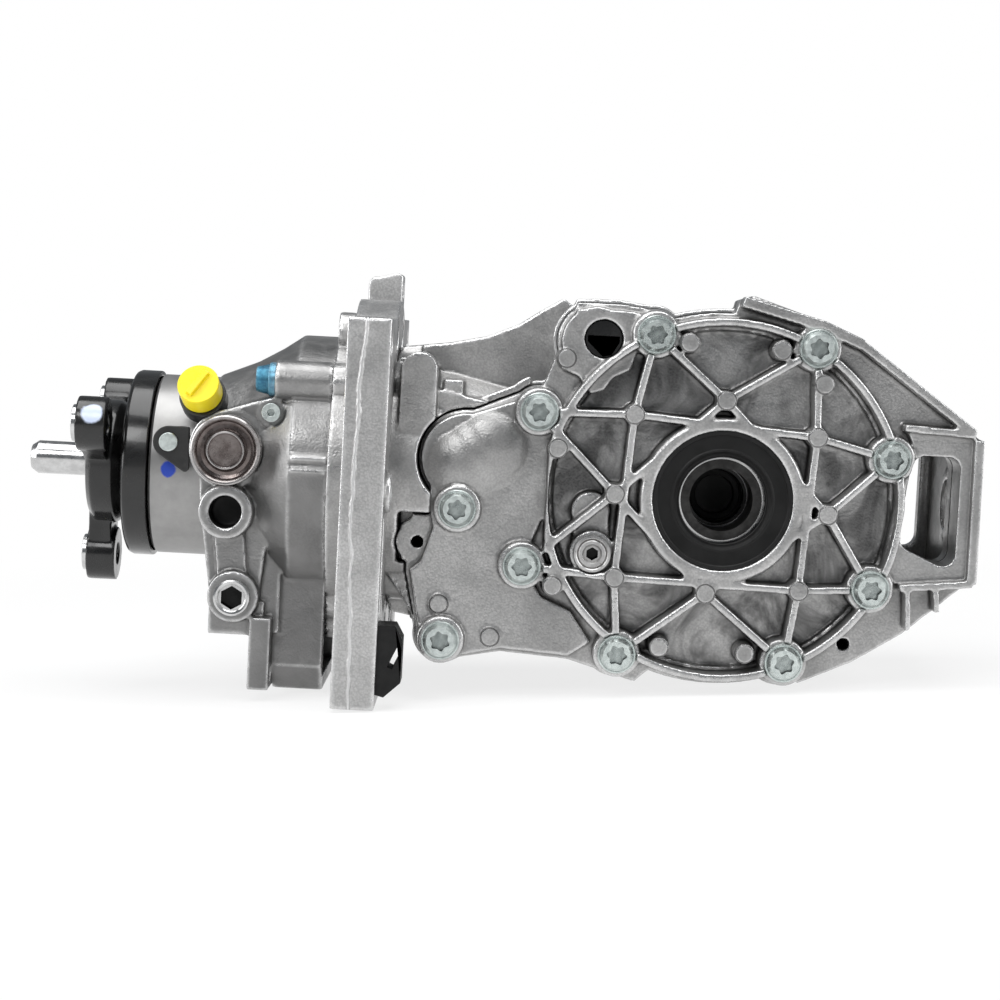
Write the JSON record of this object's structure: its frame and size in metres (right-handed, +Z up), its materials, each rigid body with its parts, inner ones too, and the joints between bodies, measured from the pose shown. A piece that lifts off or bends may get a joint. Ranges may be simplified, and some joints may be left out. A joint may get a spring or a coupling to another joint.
{
  "type": "rear differential",
  "caption": "Rear drive unit with an input flange, clutch coupling, mounting frame, ribbed side cover and spiral bevel differential with splined outputs.",
  "frame": {"origin": "centre of the front face of the input flange arms, on the input axis", "axes": "+X rearward along the input axis, +Z up, -Y toward the ribbed side cover; the output axis is parallel to Y at X = 0.3035 m"},
  "size_m": [0.456, 0.19, 0.202],
  "materials": {
    "cast_aluminium": "die-cast, lightly blasted",
    "machined_aluminium": "turned",
    "sealant": "matt cured bead",
    "zinc_steel": "zinc plated",
    "blue_coated_steel": "blue thread-lock coating",
    "plain_steel": "ground",
    "black_plug": "glossy black",
    "seal_rubber": "satin",
    "bearing_steel": "polished",
    "motor_can": "drawn can, tarnished",
    "yellow_plastic": "semi gloss",
    "black_plastic": "moulded",
    "damper_rubber": "matt",
    "black_paint": "gloss black",
    "gear_steel": "lapped, phosphate dark",
    "cast_iron": "as cast",
    "friction_lining": "bonded lining"
  },
  "bodies": {
    "housing": {"main_case": "cast_aluminium", "side_cover": "cast_aluminium", "cover_sealant": "sealant", "coupling_case": "cast_aluminium", "front_nose": "machined_aluminium", "mounting_frame": "cast_aluminium", "cover_bolts": "zinc_steel", "coupling_bolts": "blue_coated_steel", "frame_bolts": "zinc_steel", "fill_plug": "zinc_steel", "vent_plug": "black_plug", "pump_plug": "plain_steel", "output_seal_near": "seal_rubber", "output_seal_far": "seal_rubber", "side_cup_near": "bearing_steel", "side_cup_far": "bearing_steel", "pinion_head_cup": "bearing_steel", "pinion_tail_cup": "bearing_steel", "input_seal": "seal_rubber", "input_outer_race": "bearing_steel", "pump_motor": "motor_can", "motor_screw": "zinc_steel", "connector_cap": "yellow_plastic", "connector_socket": "black_plastic", "motor_bracket": "black_plastic", "bracket_screw": "zinc_steel", "frame_damper": "damper_rubber", "dowel_pins": "plain_steel"},
    "input": {"input_flange": "black_paint", "flange_collars": "plain_steel", "pilot_pin": "plain_steel", "dust_shield": "black_paint", "input_shaft": "plain_steel", "input_inner_race": "bearing_steel", "clutch_drum": "plain_steel", "drive_plates": "plain_steel"},
    "input_ball_set": {"input_balls": "bearing_steel"},
    "piston": {"clutch_piston": "plain_steel"},
    "pump": {"pump_rotor": "plain_steel"},
    "pinion": {"drive_pinion": "gear_steel", "clutch_hub": "plain_steel", "driven_plates": "friction_lining", "pinion_head_cone": "bearing_steel", "pinion_tail_cone": "bearing_steel", "pinion_nut": "plain_steel"},
    "head_roller_set": {"pinion_head_rollers": "bearing_steel"},
    "tail_roller_set": {"pinion_tail_rollers": "bearing_steel"},
    "side_roller_set_near": {"side_rollers_near": "bearing_steel"},
    "side_roller_set_far": {"side_rollers_far": "bearing_steel"},
    "carrier": {"ring_gear": "gear_steel", "ring_bolts": "zinc_steel", "diff_case": "cast_iron", "cross_pin": "plain_steel", "side_cone_near": "bearing_steel", "side_cone_far": "bearing_steel"},
    "output_near": {"side_gear_near": "gear_steel"},
    "output_far": {"side_gear_far": "gear_steel"},
    "spider_upper": {"spider_gear_upper": "gear_steel"},
    "spider_lower": {"spider_gear_lower": "gear_steel"}
  },
  "joints": [
    {"name": "input_spin", "type": "hinge", "parent": "housing", "child": "input", "pos_m": [0, 0, 0], "axis": [1, 0, 0], "continuous": true},
    {"name": "input_ball_spin", "type": "hinge", "parent": "housing", "child": "input_ball_set", "pos_m": [0.0547, 0, 0], "axis": [1, 0, 0], "continuous": true},
    {"name": "piston_slide", "type": "slide", "parent": "housing", "child": "piston", "axis": [-1, 0, 0], "range_m": [0, 0.0012]},
    {"name": "pump_spin", "type": "hinge", "parent": "housing", "child": "pump", "pos_m": [0.0723, -0.052, 0.0114], "axis": [0, 1, 0], "continuous": true},
    {"name": "carrier_spin", "type": "hinge", "parent": "housing", "child": "carrier", "pos_m": [0.3035, 0, 0], "axis": [0, 1, 0], "continuous": true},
    {"name": "pinion_spin", "type": "hinge", "parent": "housing", "child": "pinion", "pos_m": [0.15, 0, 0], "axis": [1, 0, 0], "continuous": true},
    {"name": "head_roller_spin", "type": "hinge", "parent": "housing", "child": "head_roller_set", "pos_m": [0.214, 0, 0], "axis": [1, 0, 0], "continuous": true},
    {"name": "tail_roller_spin", "type": "hinge", "parent": "housing", "child": "tail_roller_set", "pos_m": [0.158, 0, 0], "axis": [1, 0, 0], "continuous": true},
    {"name": "side_roller_near_spin", "type": "hinge", "parent": "housing", "child": "side_roller_set_near", "pos_m": [0.3035, -0.05, 0], "axis": [0, 1, 0], "continuous": true},
    {"name": "side_roller_far_spin", "type": "hinge", "parent": "housing", "child": "side_roller_set_far", "pos_m": [0.3035, 0.04, 0], "axis": [0, 1, 0], "continuous": true},
    {"name": "output_near_spin", "type": "hinge", "parent": "carrier", "child": "output_near", "pos_m": [0.3035, 0, 0], "axis": [0, 1, 0], "continuous": true},
    {"name": "output_far_spin", "type": "hinge", "parent": "carrier", "child": "output_far", "pos_m": [0.3035, 0, 0], "axis": [0, 1, 0], "continuous": true},
    {"name": "spider_upper_spin", "type": "hinge", "parent": "carrier", "child": "spider_upper", "pos_m": [0.3035, 0, 0], "axis": [0, 0, 1], "continuous": true},
    {"name": "spider_lower_spin", "type": "hinge", "parent": "carrier", "child": "spider_lower", "pos_m": [0.3035, 0, 0], "axis": [0, 0, 1], "continuous": true}
  ],
  "couplings": [
    {"joint": "input_ball_spin", "follows": "input_spin", "ratio": 0.39565},
    {"joint": "pinion_spin", "follows": "carrier_spin", "ratio": -2.7857},
    {"joint": "head_roller_spin", "follows": "carrier_spin", "ratio": -1.1855},
    {"joint": "tail_roller_spin", "follows": "carrier_spin", "ratio": -1.1678},
    {"joint": "side_roller_near_spin", "follows": "carrier_spin", "ratio": 0.44857},
    {"joint": "side_roller_far_spin", "follows": "carrier_spin", "ratio": 0.44857},
    {"joint": "output_far_spin", "follows": "output_near_spin", "ratio": -1},
    {"joint": "spider_upper_spin", "follows": "output_near_spin", "ratio": 1.4},
    {"joint": "spider_lower_spin", "follows": "output_near_spin", "ratio": -1.4}
  ]
}
